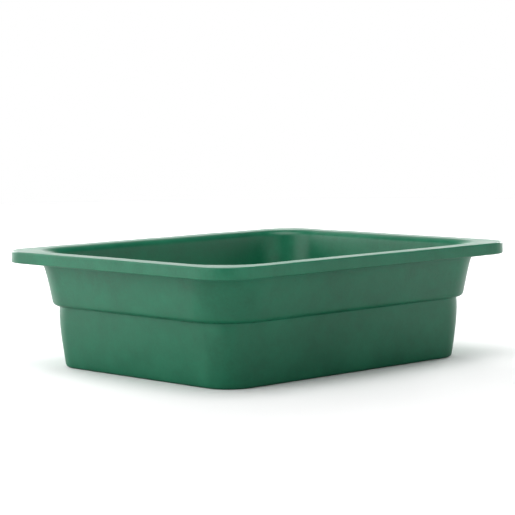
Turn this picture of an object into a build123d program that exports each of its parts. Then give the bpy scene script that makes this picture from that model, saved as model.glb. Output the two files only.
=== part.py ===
from build123d import *
import os

# A deep rectangular pan for a counter opening. It is a metal casting, the core, with a coat of
# coloured resin baked over all of it. Millimetres, +Z up, origin at the middle of the base.

# Overall size, over the outer edge of the rim.
LENGTH = 324.0
WIDTH = 267.0
HEIGHT = 93.5

# Thickness of the coated wall, and of the coat alone.
WALL = 4.5
COAT = 0.6

# Rim: a flat flange whose edge turns down, so that a shallow channel runs underneath it.
RIM_EDGE = 9.5
RIM_CORNER = 29.0
RIM_EDGE_ROUND = 1.2
LIP_INNER_ROUND = 1.0
CHANNEL_ROUND = 2.0
MOUTH_ROUND = 6.5
RIM_UNDERSIDE = HEIGHT - RIM_EDGE
CHANNEL_CEILING = HEIGHT - WALL

# Margins are measured from the rim's outer edge to the outside of the wall, on the straight sides.
STEP_HEIGHT = 49.5
UPPER_MARGIN_AT_RIM = 15.7
UPPER_MARGIN_AT_STEP = 20.7
UPPER_CORNER = 37.5
STEP_LEDGE = 4.8
LOWER_MARGIN_AT_STEP = UPPER_MARGIN_AT_STEP + STEP_LEDGE
LOWER_MARGIN_AT_BASE = 31.2

# The outside of the upper wall flares a little more over its last stretch under the rim.
FLARE = 1.2
FLARE_HEIGHT = 76.0

# The lower corners tighten quickly below the step, then slowly down to the base.
CORNER_BEND_HEIGHT = 36.5
LOWER_CORNER_AT_STEP = 33.0
LOWER_CORNER_AT_BEND = 27.5
LOWER_CORNER_AT_BASE = 23.4

# Rounding of the step, outside and inside, and of the base.
STEP_LIP_ROUND = 4.0
STEP_ROOT_ROUND = 1.2
LEDGE_LIP_ROUND = 2.5
LEDGE_ROOT_ROUND = 1.5
BASE_ROUND = 3.0
FLOOR_ROUND = 8.0


def upper_margin(height):
    """Margin of the upper wall's outside, which leans in evenly from the rim to the step."""
    share = (RIM_UNDERSIDE - height) / (RIM_UNDERSIDE - STEP_HEIGHT)
    return UPPER_MARGIN_AT_RIM + share * (UPPER_MARGIN_AT_STEP - UPPER_MARGIN_AT_RIM)


def lower_margin(height):
    """Margin of the lower wall's outside, which leans in evenly from the step to the base."""
    share = (STEP_HEIGHT - height) / STEP_HEIGHT
    return LOWER_MARGIN_AT_STEP + share * (LOWER_MARGIN_AT_BASE - LOWER_MARGIN_AT_STEP)


def tapered_block(levels, bottom_round):
    """Solid through rounded rectangles, each a (height, margin, corner), its lowest edge rounded."""
    with BuildPart() as block:
        for height, margin, corner in levels:
            with BuildSketch(Plane.XY.offset(height)):
                RectangleRounded(LENGTH - 2 * margin, WIDTH - 2 * margin, corner)
        loft(ruled=True)
        fillet(block.edges().group_by(Axis.Z)[0], bottom_round)
    return block.part


def pan_shape(depth):
    """The whole pan, every surface of it sunk by depth below the finished one."""
    wall = WALL - depth
    step = STEP_HEIGHT + depth
    ledge = STEP_HEIGHT + WALL - depth
    ceiling = CHANNEL_CEILING + depth
    underside = RIM_UNDERSIDE + depth
    top = HEIGHT - depth
    rim_middle = (CHANNEL_CEILING + HEIGHT) / 2

    upper_outside = tapered_block(
        [
            (step, upper_margin(step) + depth, UPPER_CORNER - depth),
            (FLARE_HEIGHT, upper_margin(FLARE_HEIGHT) + depth, UPPER_CORNER - depth),
            (rim_middle, upper_margin(rim_middle) - FLARE + depth, UPPER_CORNER - depth),
        ],
        STEP_LIP_ROUND - depth,
    )
    lower_outside = tapered_block(
        [
            (depth, lower_margin(depth) + depth, LOWER_CORNER_AT_BASE - depth),
            (CORNER_BEND_HEIGHT, lower_margin(CORNER_BEND_HEIGHT) + depth, LOWER_CORNER_AT_BEND - depth),
            (step, lower_margin(step) + depth, LOWER_CORNER_AT_STEP - depth),
        ],
        BASE_ROUND - depth,
    )
    upper_hollow = tapered_block(
        [
            (ledge, upper_margin(ledge) + wall, UPPER_CORNER - wall),
            (top, upper_margin(top) + wall, UPPER_CORNER - wall),
        ],
        LEDGE_ROOT_ROUND + depth,
    )
    lower_hollow = tapered_block(
        [
            (wall, lower_margin(wall) + wall, LOWER_CORNER_AT_BASE - wall),
            (CORNER_BEND_HEIGHT, lower_margin(CORNER_BEND_HEIGHT) + wall, LOWER_CORNER_AT_BEND - wall),
            (ledge, lower_margin(ledge) + wall, LOWER_CORNER_AT_STEP - wall),
        ],
        FLOOR_ROUND + depth,
    )

    with BuildPart() as rim:
        with BuildSketch(Plane.XY.offset(underside)):
            RectangleRounded(LENGTH - 2 * depth, WIDTH - 2 * depth, RIM_CORNER - depth)
        extrude(amount=top - underside)
        fillet(rim.edges().group_by(Axis.Z)[0], RIM_EDGE_ROUND - depth)
        fillet(rim.edges().group_by(Axis.Z)[-1], RIM_EDGE_ROUND - depth)
        with BuildSketch(Plane.XY.offset(underside)):
            RectangleRounded(LENGTH - 2 * wall, WIDTH - 2 * wall, RIM_CORNER - wall)
        extrude(amount=ceiling - underside, mode=Mode.SUBTRACT)
        under_edges = rim.faces().sort_by(Axis.Z)[0].inner_wires()[0].edges()
        fillet(under_edges, LIP_INNER_ROUND - depth)

    with BuildPart() as body:
        add(rim.part)
        add(upper_outside)
        ceiling_face = body.faces().filter_by(Axis.Z).group_by(Axis.Z)[-2]
        fillet(ceiling_face.edges(), CHANNEL_ROUND + depth)
        add(lower_outside)
        step_face = body.faces().filter_by(Axis.Z).group_by(Axis.Z)[1].face()
        fillet(step_face.inner_wires()[0].edges(), STEP_ROOT_ROUND + depth)
        add(upper_hollow, mode=Mode.SUBTRACT)
        add(lower_hollow, mode=Mode.SUBTRACT)
        mouth = body.faces().sort_by(Axis.Z)[-1].inner_wires()[0].edges()
        fillet(mouth, MOUTH_ROUND - depth)
        inner_faces = body.faces().filter_by(Axis.Z).filter_by_position(Axis.Z, ledge - 1, ledge + 1)
        fillet(inner_faces.face().inner_wires()[0].edges(), LEDGE_LIP_ROUND - depth)
    return body.part


finished_shape = pan_shape(0.0)
core_shape = pan_shape(COAT)

with BuildPart() as cast_core:
    add(core_shape)
cast_core.part.label = "cast_core"

with BuildPart() as resin_coating:
    add(finished_shape)
    add(core_shape, mode=Mode.SUBTRACT)
resin_coating.part.label = "resin_coating"

os.makedirs("parts", exist_ok=True)
export_step(cast_core.part, "parts/cast_core.step")
export_step(resin_coating.part, "parts/resin_coating.step")
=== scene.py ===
"""Green resin-coated rectangular pan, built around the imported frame. Metres, +Z up."""

import math

import bpy
import numpy as np
from mathutils import Matrix, Vector, noise


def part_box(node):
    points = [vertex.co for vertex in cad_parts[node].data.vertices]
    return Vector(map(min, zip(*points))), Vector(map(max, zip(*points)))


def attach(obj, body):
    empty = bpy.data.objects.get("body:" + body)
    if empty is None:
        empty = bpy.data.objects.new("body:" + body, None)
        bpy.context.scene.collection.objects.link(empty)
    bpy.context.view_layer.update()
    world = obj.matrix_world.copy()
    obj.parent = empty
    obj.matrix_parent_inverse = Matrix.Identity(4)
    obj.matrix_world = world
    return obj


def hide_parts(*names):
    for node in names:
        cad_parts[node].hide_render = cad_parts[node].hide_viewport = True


# One millimetre.
MM = 0.001

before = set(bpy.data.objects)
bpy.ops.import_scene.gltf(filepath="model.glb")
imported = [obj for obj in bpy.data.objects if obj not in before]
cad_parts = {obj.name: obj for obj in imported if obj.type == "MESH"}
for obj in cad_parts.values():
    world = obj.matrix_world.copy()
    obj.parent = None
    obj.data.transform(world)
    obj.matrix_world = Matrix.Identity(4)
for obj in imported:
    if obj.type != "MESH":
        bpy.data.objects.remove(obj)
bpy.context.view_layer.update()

# Overall size and coat thickness, from the frame.
coat_low, coat_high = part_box("resin_coating")
core_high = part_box("cast_core")[1]
LENGTH = coat_high[0] - coat_low[0]
WIDTH = coat_high[1] - coat_low[1]
HEIGHT = coat_high[2] - coat_low[2]
COAT = coat_high[2] - core_high[2]

# The section through the wall. A margin is the distance in from the rim's outer edge.
WALL = 4.5 * MM

# Rim: its turned-down edge, the channel behind that edge, and the mouth of the pan.
RIM_EDGE = 9.5 * MM
RIM_CORNER = 29 * MM
RIM_EDGE_ROUND = 1.2 * MM
LIP_INNER_ROUND = 1.0 * MM
CHANNEL_ROUND = 2.0 * MM
MOUTH_ROUND = 6.5 * MM

# Upper wall, and how far and over what height its outside flares out to the rim.
UPPER_MARGIN_AT_RIM = 15.7 * MM
UPPER_MARGIN_AT_STEP = 20.7 * MM
UPPER_CORNER = 37.5 * MM
FLARE = 1.2 * MM
FLARE_REACH = 4.5 * MM

# Step outside, and the ledge that it makes inside.
STEP_HEIGHT = 49.5 * MM
STEP_LIP_ROUND = 4.0 * MM
STEP_ROOT_ROUND = 1.2 * MM
LEDGE_LIP_ROUND = 2.5 * MM
LEDGE_ROOT_ROUND = 1.5 * MM

# Lower wall, whose corners tighten by most of the difference within the relax height.
LOWER_MARGIN_AT_STEP = 25.5 * MM
LOWER_MARGIN_AT_BASE = 31.2 * MM
LOWER_CORNER_AT_STEP = 33.0 * MM
LOWER_CORNER_AT_BASE = 23.4 * MM
CORNER_RELAX = 15.3 * MM
BASE_ROUND = 3.0 * MM
FLOOR_ROUND = 8.0 * MM

# Mesh density round a ring: points in each corner, on each long side and on each short side.
CORNER_STEPS = 18
LONG_STEPS = 44
SHORT_STEPS = 34

# Mesh density along the section: the longest step, the widest turn and the fewest steps in an arc.
SECTION_STEP = 3.5 * MM
ARC_STEP = math.radians(11)
ARC_STEPS_LEAST = 3

# A face that rises by less than this share of its run counts as level.
LEVEL_RISE = 0.2

# The flat caps that close the base and the floor: how many rings they have, how strongly the rings
# draw towards the middle, and a point this far in that gives the section its direction there.
CAP_RINGS = 18
CAP_EASE = 1.15
CAP_REACH = 20 * MM

# Heights at which the section has a point, as shares of the step's height for the lower wall,
# outside going up and inside going down, and of the upper wall's height for its outside.
LOWER_OUTSIDE_SHARES = (0.1, 0.25, 0.4, 0.52, 0.64, 0.74, 0.83, 0.91)
LOWER_INSIDE_SHARES = (0.91, 0.83, 0.74, 0.64, 0.52, 0.4, 0.32)
UPPER_OUTSIDE_SHARES = (0.3, 0.5, 0.62, 0.72, 0.8, 0.87, 0.94, 1.0)

# How far the coat's surface wanders, always inward, over broad and fine patches. The face that
# the pan stands on moves only by the standing share of that.
WAVE_DEPTH = 0.22 * MM
WAVE_PATCH = 42 * MM
WAVE_FINE_PATCH = 0.42 * WAVE_PATCH
WAVE_FINE_SHARE = 0.35
WAVE_GAIN = 1.3
WAVE_STANDING_SHARE = 0.15
WAVE_BROAD_START = Vector((3.1, 7.7, 1.9))
WAVE_FINE_START = Vector((9.4, 2.2, 5.3))


def upper_margin(height):
    """Outside of the upper wall, leaning in evenly from the rim's underside to the step."""
    span = HEIGHT - RIM_EDGE - STEP_HEIGHT
    share = (HEIGHT - RIM_EDGE - height) / span
    return UPPER_MARGIN_AT_RIM + share * (UPPER_MARGIN_AT_STEP - UPPER_MARGIN_AT_RIM)


def flared_margin(height):
    """The upper wall's outside with its last stretch curving out a little up to the rim."""
    below_rim = min(height - HEIGHT + RIM_EDGE, 0)
    return upper_margin(height) - FLARE * math.exp(below_rim / FLARE_REACH)


def lower_margin(height):
    """Outside of the lower wall, leaning in evenly from the step to the base."""
    share = (STEP_HEIGHT - height) / STEP_HEIGHT
    return LOWER_MARGIN_AT_STEP + share * (LOWER_MARGIN_AT_BASE - LOWER_MARGIN_AT_STEP)


def lower_corner(height):
    """Corner radius of the lower wall, which tightens quickly below the step and slowly after."""
    drop = max(STEP_HEIGHT - height, 0)
    extra = LOWER_CORNER_AT_STEP - LOWER_CORNER_AT_BASE
    return LOWER_CORNER_AT_BASE + extra * math.exp(-drop / CORNER_RELAX)


def section(depth):
    """Corners of the wall's section from the base's edge round to the floor's edge, sunk by depth.

    Each is (margin, height, corner radius of the ring there, rounding)."""
    wall = WALL - depth
    step = STEP_HEIGHT + depth
    ledge = STEP_HEIGHT + WALL - depth
    ceiling = HEIGHT - WALL + depth
    underside = HEIGHT - RIM_EDGE + depth
    top = HEIGHT - depth
    points = [(lower_margin(depth) + depth, depth, lower_corner(depth) - depth, BASE_ROUND - depth)]
    for share in LOWER_OUTSIDE_SHARES:
        z = STEP_HEIGHT * share
        points.append((lower_margin(z) + depth, z, lower_corner(z) - depth, 0))
    points += [
        (lower_margin(step) + depth, step, lower_corner(step) - depth, STEP_ROOT_ROUND + depth),
        (upper_margin(step) + depth, step, UPPER_CORNER - depth, STEP_LIP_ROUND - depth),
    ]
    for share in UPPER_OUTSIDE_SHARES:
        z = STEP_HEIGHT + (HEIGHT - RIM_EDGE - STEP_HEIGHT) * share
        points.append((flared_margin(z) + depth, z, UPPER_CORNER - depth, 0))
    points += [
        (flared_margin(ceiling) + depth, ceiling, UPPER_CORNER - depth, CHANNEL_ROUND + depth),
        (wall, ceiling, RIM_CORNER - wall, CHANNEL_ROUND + depth),
        (wall, underside, RIM_CORNER - wall, LIP_INNER_ROUND - depth),
        (depth, underside, RIM_CORNER - depth, RIM_EDGE_ROUND - depth),
        (depth, top, RIM_CORNER - depth, RIM_EDGE_ROUND - depth),
        (upper_margin(top) + wall, top, UPPER_CORNER - wall, MOUTH_ROUND - depth),
        (upper_margin(ledge) + wall, ledge, UPPER_CORNER - wall, LEDGE_ROOT_ROUND + depth),
        (lower_margin(ledge) + wall, ledge, LOWER_CORNER_AT_STEP - wall, LEDGE_LIP_ROUND - depth),
    ]
    for share in LOWER_INSIDE_SHARES:
        z = STEP_HEIGHT * share
        points.append((lower_margin(z) + wall, z, lower_corner(z) - wall, 0))
    points.append((lower_margin(wall) + wall, wall, lower_corner(wall) - wall, FLOOR_ROUND + depth))
    return [np.array(p, float) for p in points]


def rounded(points, first, last):
    """The section with each corner rounded to an arc, as (margin, height, ring corner radius).

    first and last are the points that the section comes from and goes on to, on the base and floor."""
    path = []
    chain = [first, *points, last]
    for before, here, after in zip(chain, chain[1:], chain[2:]):
        radius = here[3]
        if radius <= 0:
            path.append(here[:3])
            continue
        back, ahead = before[:2] - here[:2], after[:2] - here[:2]
        length_back, length_ahead = np.linalg.norm(back), np.linalg.norm(ahead)
        half = 0.5 * math.acos(np.dot(back, ahead) / (length_back * length_ahead))
        reach = radius / math.tan(half)
        turn = math.pi - 2 * half
        start = (before[:3] - here[:3]) * reach / length_back
        end = (after[:3] - here[:3]) * reach / length_ahead
        for side in (start, end):
            # On a level face the arc's edge runs parallel to the corner, so the ring's radius
            # changes by as much as its margin does.
            if abs(side[1]) < LEVEL_RISE * abs(side[0]):
                side[2] = -side[0]
        steps = max(ARC_STEPS_LEAST, math.ceil(turn / ARC_STEP))
        for i in range(steps + 1):
            angle = turn * i / steps
            # The arc's point in the skew axes that run along the two sides from the corner.
            share_end = (1 - math.cos(angle)) / (1 - math.cos(turn))
            share_start = (1 - math.cos(turn - angle)) / (1 - math.cos(turn))
            path.append(here[:3] + start * share_start + end * share_end)
    return path


def refined(path):
    """The path with its long stretches cut into even steps."""
    out = [path[0]]
    for a, b in zip(path, path[1:]):
        length = np.linalg.norm((b - a)[:2])
        steps = max(1, math.ceil(length / SECTION_STEP))
        out += [a + (b - a) * i / steps for i in range(1, steps + 1)]
    return out


def ring(margin, height, corner):
    """Points of one rounded rectangle, anticlockwise seen from above."""
    half_x, half_y = LENGTH / 2 - margin, WIDTH / 2 - margin
    centres = [(half_x - corner, half_y - corner), (corner - half_x, half_y - corner),
               (corner - half_x, corner - half_y), (half_x - corner, corner - half_y)]
    points = []
    for k, (cx, cy) in enumerate(centres):
        for i in range(CORNER_STEPS + 1):
            angle = math.pi / 2 * (k + i / CORNER_STEPS)
            points.append((cx + corner * math.cos(angle), cy + corner * math.sin(angle), height))
        steps = LONG_STEPS if k % 2 == 0 else SHORT_STEPS
        nx, ny = centres[(k + 1) % 4]
        angle = math.pi / 2 * (k + 1)
        sx, sy = corner * math.cos(angle), corner * math.sin(angle)
        for i in range(1, steps):
            share = i / steps
            points.append((cx + (nx - cx) * share + sx, cy + (ny - cy) * share + sy, height))
    return np.array(points)


def cap_rings(edge, share_from_edge):
    """Rings from the edge of a flat cap in to a small ring round its middle."""
    middle = np.array([0, 0, edge[0, 2]])
    return [middle + (edge - middle) * (1 - share) for share in share_from_edge]


def shell(depth):
    """Vertices and faces of the closed skin that lies depth under the finished surface."""
    points = section(depth)
    inward = np.array([CAP_REACH, 0, -CAP_REACH, 0])
    path = refined(rounded(points, points[0] + inward, points[-1] + inward))
    rings = [ring(*p) for p in path]
    shares = [1 - (1 - i / CAP_RINGS) ** CAP_EASE for i in range(1, CAP_RINGS)]
    rings = cap_rings(rings[0], shares)[::-1] + rings + cap_rings(rings[-1], shares)
    count = len(rings[0])
    low_middle = [0, 0, rings[0][0, 2]]
    high_middle = [0, 0, rings[-1][0, 2]]
    vertices = np.vstack([*rings, low_middle, high_middle])
    low, high = len(vertices) - 2, len(vertices) - 1
    faces = []
    for r in range(len(rings) - 1):
        a, b = r * count, (r + 1) * count
        for i in range(count):
            j = (i + 1) % count
            faces.append((a + i, a + j, b + j, b + i))
    last = (len(rings) - 1) * count
    for i in range(count):
        j = (i + 1) % count
        faces.append((low, j, i))
        faces.append((high, last + i, last + j))
    return vertices, faces


def mesh_object(name, vertices, faces):
    """A smooth-shaded mesh object from points and faces."""
    mesh = bpy.data.meshes.new(name)
    mesh.from_pydata([tuple(v) for v in vertices], [], faces)
    mesh.validate()
    mesh.update()
    mesh.polygons.foreach_set("use_smooth", [True] * len(mesh.polygons))
    obj = bpy.data.objects.new(name, mesh)
    bpy.context.scene.collection.objects.link(obj)
    return obj


def surface_wave(obj, count):
    """Lets the first count vertices wander inward, softly and unevenly, as a poured coat does."""
    mesh = obj.data
    normals = [v.normal.copy() for v in mesh.vertices[:count]]
    for v, n in zip(mesh.vertices[:count], normals):
        broad = noise.noise(v.co / WAVE_PATCH + WAVE_BROAD_START)
        fine = noise.noise(v.co / WAVE_FINE_PATCH + WAVE_FINE_START)
        dip = 0.5 + 0.5 * max(-1, min(1, WAVE_GAIN * (broad + WAVE_FINE_SHARE * fine)))
        standing = WAVE_STANDING_SHARE if v.co.z < BASE_ROUND / 2 else 1
        v.co -= n * WAVE_DEPTH * dip * standing
    mesh.update()


def build_coating():
    """The coat: a finished skin outside and, one coat's thickness under it, a skin on the casting."""
    outer_v, outer_f = shell(0)
    inner_v, inner_f = shell(COAT)
    start = len(outer_v)
    inner_f = [tuple(start + i for i in reversed(f)) for f in inner_f]
    obj = mesh_object("resin_skin", np.vstack([outer_v, inner_v]), outer_f + inner_f)
    surface_wave(obj, start)
    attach(obj, "root")
    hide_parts("resin_coating")
    return obj


class Nodes:
    """Short hand for building one material's node tree."""

    def __init__(self, name):
        self.material = bpy.data.materials.new(name)
        self.material.use_nodes = True
        self.tree = self.material.node_tree
        self.shader = self.tree.nodes["Principled BSDF"]

    def feed(self, node, inputs):
        """Gives a node its inputs, as values or as links from other nodes."""
        for key, value in inputs.items():
            if isinstance(value, bpy.types.NodeSocket):
                self.tree.links.new(value, node.inputs[key])
            else:
                node.inputs[key].default_value = value

    def surface(self, inputs):
        """Gives the shader its inputs and returns the finished material."""
        self.feed(self.shader, inputs)
        return self.material

    def add(self, kind, inputs, **settings):
        """A new node with its inputs and settings."""
        node = self.tree.nodes.new(kind)
        for key, value in settings.items():
            setattr(node, key, value)
        self.feed(node, inputs)
        return node

    def place(self):
        """Where a point lies in its object's own coordinates."""
        return self.add("ShaderNodeTexCoord", {}).outputs["Object"]

    def ramp(self, source, stops):
        """A colour ramp over stops of (position, grey or colour)."""
        node = self.add("ShaderNodeValToRGB", {"Fac": source})
        elements = node.color_ramp.elements
        while len(elements) < len(stops):
            elements.new(0.5)
        for element, (position, colour) in zip(elements, stops):
            element.position = position
            element.color = (*colour, 1) if isinstance(colour, tuple) else (colour, colour, colour, 1)
        return node.outputs["Color"]

    def math(self, operation, a, b):
        """A maths node's result."""
        return self.add("ShaderNodeMath", {0: a, 1: b}, operation=operation).outputs[0]

    def blend(self, values, shares):
        """The sum of the values, each times its share."""
        parts = [self.math("MULTIPLY", value, share) for value, share in zip(values, shares)]
        total = parts[0]
        for part in parts[1:]:
            total = self.math("ADD", total, part)
        return total

    def noise(self, vector, scale, detail, roughness):
        """A noise texture's value."""
        inputs = {"Vector": vector, "Scale": scale, "Detail": detail, "Roughness": roughness}
        return self.add("ShaderNodeTexNoise", inputs).outputs["Fac"]

    def bump(self, height, strength, distance):
        """The normal of a surface raised by height."""
        inputs = {"Height": height, "Strength": strength, "Distance": distance}
        return self.add("ShaderNodeBump", inputs).outputs["Normal"]


# Resin: broad patches, clouds and flecks, each noise as (scale, detail, roughness), and the share of
# each in the mottled colour and in the uneven sheen.
RESIN_LAYERS = [(16, 3, 0.55), (75, 4, 0.6), (420, 3, 0.6)]
MOTTLE_SHARES = (0.45, 0.35, 0.20)
SHEEN_SHARES = (0.4, 0.4, 0.2)

# Colours of the resin's darkest patches, of most of it, and of its palest patches, as (position,
# colour), and the roughness of its glossiest and dullest patches, as (position, roughness).
MOTTLE_STOPS = [(0.38, (0.005, 0.132, 0.065)), (0.5, (0.007, 0.160, 0.080)),
                (0.62, (0.010, 0.188, 0.096))]
SHEEN_STOPS = [(0.36, 0.32), (0.64, 0.44)]
RESIN_SPECULAR = 0.45

# The resin's skin: fine pebbles over wider ripples.
RESIN_PEBBLE = (900, 2, 0.5)
RESIN_RIPPLE = (210, 2, 0.5)
PEBBLE_SHARE = 0.3
RESIN_BUMP = 0.16
RESIN_BUMP_HEIGHT = 0.35 * MM


def resin_material():
    """Deep green baked resin: satin, faintly mottled, with a fine pebbled skin."""
    n = Nodes("green_resin_skin")
    place = n.place()
    layers = [n.noise(place, *layer) for layer in RESIN_LAYERS]
    pebble = n.noise(place, *RESIN_PEBBLE)
    ripple = n.noise(place, *RESIN_RIPPLE)
    height = n.math("ADD", n.math("MULTIPLY", pebble, PEBBLE_SHARE), ripple)
    return n.surface({
        "Base Color": n.ramp(n.blend(layers, MOTTLE_SHARES), MOTTLE_STOPS),
        "Roughness": n.ramp(n.blend(layers, SHEEN_SHARES), SHEEN_STOPS),
        "Specular IOR Level": RESIN_SPECULAR,
        "Normal": n.bump(height, RESIN_BUMP, RESIN_BUMP_HEIGHT),
    })


# Aluminium: stains in two greys, and a grain that also roughens it, as noises and stops like the
# resin's.
STAIN = (60, 4, 0.6)
STAIN_STOPS = [(0.35, (0.50, 0.51, 0.52)), (0.65, (0.66, 0.67, 0.68))]
GRAIN = (900, 5, 0.65)
GRAIN_STOPS = [(0.3, 0.48), (0.7, 0.66)]
GRAIN_BUMP = 0.5
GRAIN_HEIGHT = 0.2 * MM


def aluminium_material():
    """Sand-cast aluminium: dull grey with a fine grain."""
    n = Nodes("cast_aluminium_raw")
    place = n.place()
    grain = n.noise(place, *GRAIN)
    return n.surface({
        "Base Color": n.ramp(n.noise(place, *STAIN), STAIN_STOPS),
        "Roughness": n.ramp(grain, GRAIN_STOPS),
        "Metallic": 1.0,
        "Normal": n.bump(grain, GRAIN_BUMP, GRAIN_HEIGHT),
    })


# Camera: which way it looks, turned clockwise from +Y and dropped below level, its roll, its
# distance from the point it aims at, and where that point lies from the middle of the pan.
VIEW_TURN = math.radians(43.64)
VIEW_DROP = math.radians(4.90)
VIEW_ROLL = math.radians(-0.70)
VIEW_DISTANCE = 1610 * MM
AIM_RIGHT = -1.75 * MM
AIM_ABOVE = 36.8 * MM

# Lens and sensor width, in the millimetres that Blender's camera takes, and clipping in metres.
LENS = 139.8
SENSOR = 36
CLIP_START = 0.05
CLIP_END = 60


def make_camera():
    """The camera, aimed a little above the pan so that the pan sits low in the picture."""
    ahead = Vector((math.sin(VIEW_TURN) * math.cos(VIEW_DROP),
                    math.cos(VIEW_TURN) * math.cos(VIEW_DROP), -math.sin(VIEW_DROP)))
    right = Vector((math.cos(VIEW_TURN), -math.sin(VIEW_TURN), 0))
    up = right.cross(ahead)
    aim = Vector((0, 0, HEIGHT / 2)) + right * AIM_RIGHT + up * AIM_ABOVE
    rolled_right = right * math.cos(VIEW_ROLL) + up * math.sin(VIEW_ROLL)
    rolled_up = up * math.cos(VIEW_ROLL) - right * math.sin(VIEW_ROLL)
    data = bpy.data.cameras.new("studio_camera")
    data.lens = LENS
    data.sensor_width = SENSOR
    data.clip_start = CLIP_START
    data.clip_end = CLIP_END
    camera = bpy.data.objects.new("studio_camera", data)
    turn = Matrix((rolled_right, rolled_up, -ahead)).transposed().to_4x4()
    camera.matrix_world = Matrix.Translation(aim - ahead * VIEW_DISTANCE) @ turn
    bpy.context.scene.collection.objects.link(camera)
    bpy.context.scene.camera = camera


# Studio: a round floor inside a tall round wall, in metres. The wall is a plain white background.
FLOOR_RADIUS = 2.25
MIDDLE_RADIUS = 1 * MM
WALL_HEIGHT = 2.5
WALL_GLOW = 1.0
ROOM_SIDES = 96
SKY = 0.02

# Paper: the floor's white, and the greys of the bounce sheet under it, as (distance from the middle
# of the pan in metres, grey).
FLOOR_PAPER = 0.97
# The grey close to the pan is painted shade: the floor's shadow round the pan's foot, which the pan
# reflects and is lit by.
BOUNCE_SHADE_STOPS = [(0.14, 0.38), (0.36, 0.96)]
BOUNCE_DROP = 0.5 * MM
PAPER_ROUGHNESS = 0.9
PAPER_SPECULAR = 0.1

# Softboxes: name, degrees clockwise from straight behind the pan, degrees up, width and height in
# metres, watts. All are at one distance from the pan.
SOFTBOXES = [
    ("lamp_back_left", 330, 12, 1.3, 0.9, 38),
    ("lamp_back", 0, 12, 1.2, 0.9, 6),
    ("lamp_back_right", 30, 12, 1.3, 0.9, 40),
    ("lamp_back_high", 345, 38, 2.2, 1.3, 8),
    ("lamp_left_far", 300, 14, 1.2, 0.9, 18),
    ("lamp_left", 283, 12, 2.6, 0.9, 8.5),
    ("lamp_left_front", 235, 25, 2.1, 1.9, 29),
    ("lamp_right", 94, 12, 2.0, 0.9, 6),
    ("lamp_right_front", 138, 14, 1.6, 0.9, 6.5),
    ("lamp_top", 180, 76, 2.0, 2.0, 42),
]
LAMP_DISTANCE = 2.4


def grey(level):
    """An opaque grey."""
    return (level, level, level, 1)


def paper(n, colour):
    """Finishes a material as matt paper."""
    return n.surface({"Base Color": colour, "Roughness": PAPER_ROUGHNESS,
                      "Specular IOR Level": PAPER_SPECULAR})


def floor_material():
    """White paper."""
    return paper(Nodes("studio_paper"), grey(FLOOR_PAPER))


def bounce_material():
    """Paper with painted shade: grey close to the pan, standing in for the floor's shadow there, and
    pale further out.
    """
    n = Nodes("studio_bounce_painted_shade")
    away = n.add("ShaderNodeVectorMath", {0: n.place()}, operation="LENGTH").outputs["Value"]
    return paper(n, n.ramp(away, BOUNCE_SHADE_STOPS))


def wall_material():
    """An evenly lit white wall."""
    return Nodes("studio_wall_white").surface({
        "Base Color": grey(0), "Specular IOR Level": 0,
        "Emission Color": grey(1), "Emission Strength": WALL_GLOW})


def room_ring(radius, height):
    """Points of one level ring of the room."""
    turns = [2 * math.pi * i / ROOM_SIDES for i in range(ROOM_SIDES)]
    return [(radius * math.cos(t), radius * math.sin(t), height) for t in turns]


def stage_piece(name, low, high, material):
    """Part of the studio between two rings of points."""
    faces = []
    for i in range(ROOM_SIDES):
        j = (i + 1) % ROOM_SIDES
        faces.append((i, ROOM_SIDES + i, ROOM_SIDES + j, j))
    piece = mesh_object(name, low + high, faces)
    piece.data.materials.append(material)
    return piece


def stage_disc(name, height, material):
    """A round sheet of paper under the pan."""
    return stage_piece(name, room_ring(MIDDLE_RADIUS, height), room_ring(FLOOR_RADIUS, height), material)


def make_sky():
    """A dim, even white sky."""
    world = bpy.data.worlds.new("studio_sky")
    world.use_nodes = True
    background = world.node_tree.nodes["Background"]
    background.inputs["Color"].default_value = grey(1)
    background.inputs["Strength"].default_value = SKY
    bpy.context.scene.world = world


def softbox(name, around, above, width, height, power):
    """A rectangular lamp that faces the pan."""
    angle = VIEW_TURN + math.radians(around)
    lift = math.radians(above)
    out = Vector((math.sin(angle) * math.cos(lift), math.cos(angle) * math.cos(lift), math.sin(lift)))
    data = bpy.data.lights.new(name, "AREA")
    data.shape = "RECTANGLE"
    data.size = width
    data.size_y = height
    data.energy = power
    lamp = bpy.data.objects.new(name, data)
    lamp.visible_camera = False
    lamp.location = Vector((0, 0, HEIGHT / 2)) + out * LAMP_DISTANCE
    lamp.rotation_euler = (-out).to_track_quat("-Z", "Y").to_euler()
    bpy.context.scene.collection.objects.link(lamp)


def make_studio():
    """The floor, the wall, the lamps and a dim sky.

    The floor and the wall are what the camera sees. The bounce sheet just under the floor is what
    the pan reflects and what lights it from below: it is greyer close to the pan, a painted shade that
    stands in for the floor's shadow round the pan, so that the foot of the walls stays dark."""
    floor = stage_disc("studio_floor", 0, floor_material())
    bounce = stage_disc("studio_bounce", -BOUNCE_DROP, bounce_material())
    bounce.visible_camera = False
    wall = stage_piece("studio_wall", room_ring(FLOOR_RADIUS, 0), room_ring(FLOOR_RADIUS, WALL_HEIGHT),
                       wall_material())
    for seen in (floor, wall):
        seen.visible_diffuse = False
        seen.visible_glossy = False
        seen.visible_shadow = False
    make_sky()
    for lamp in SOFTBOXES:
        softbox(*lamp)


coating = build_coating()
coating.data.materials.append(resin_material())
aluminium = aluminium_material()
for material_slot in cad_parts["cast_core"].material_slots:
    material_slot.material = aluminium
make_camera()
make_studio()
bpy.context.scene.view_settings.view_transform = "Standard"
